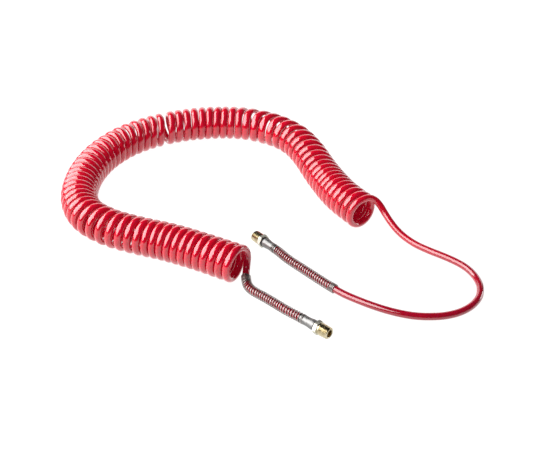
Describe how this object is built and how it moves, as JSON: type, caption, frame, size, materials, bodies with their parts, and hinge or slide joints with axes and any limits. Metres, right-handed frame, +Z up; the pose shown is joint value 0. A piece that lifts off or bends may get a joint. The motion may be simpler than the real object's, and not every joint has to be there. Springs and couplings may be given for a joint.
{
  "type": "coiled air hose",
  "caption": "Self-storing coiled polyurethane air hose with a long and a short straight tail, each ending in a spring guard, a crimped ferrule and a swivelling male pipe-thread fitting.",
  "frame": {"origin": "middle of the whole hose's box, on the plane it lies on", "axes": "+Z up; +X towards the long tail's loop; +Y away from the two fittings, towards the far side of the coil's C"},
  "size_m": [0.4866, 0.458, 0.0453],
  "materials": {
    "hose": "smooth glossy slightly translucent polyurethane",
    "swivel": "machined, pale zinc-nickel wash on the hexagon, yellow brass on the thread",
    "ring": "phosphated spring steel",
    "washer": "natural acetal",
    "stem": "machined brass",
    "seal": "matte nitrile rubber",
    "ferrule": "nickel-plated, satin",
    "guard": "bright drawn spring wire, slightly darkened"
  },
  "bodies": {
    "hose": {"hose_coil": "hose", "inlet_tail": "hose", "outlet_tail": "hose", "inlet_stem": "stem", "inlet_front_o_ring": "seal", "inlet_rear_o_ring": "seal", "inlet_dust_seal": "seal", "inlet_ferrule": "ferrule", "inlet_guard": "guard", "outlet_stem": "stem", "outlet_front_o_ring": "seal", "outlet_rear_o_ring": "seal", "outlet_dust_seal": "seal", "outlet_ferrule": "ferrule", "outlet_guard": "guard"},
    "inlet_swivel": {"inlet_swivel_body": "swivel", "inlet_retaining_ring": "ring", "inlet_thrust_washer": "washer"},
    "outlet_swivel": {"outlet_swivel_body": "swivel", "outlet_retaining_ring": "ring", "outlet_thrust_washer": "washer"}
  },
  "joints": [
    {"name": "inlet_swivel_turn", "type": "hinge", "parent": "hose", "child": "inlet_swivel", "pos_m": [0.0724, -0.2219, 0.007], "axis": [0.7431, -0.6691, 0], "continuous": true},
    {"name": "outlet_swivel_turn", "type": "hinge", "parent": "hose", "child": "outlet_swivel", "pos_m": [-0.0055, -0.0443, 0.007], "axis": [-0.6428, 0.766, 0], "continuous": true}
  ]
}
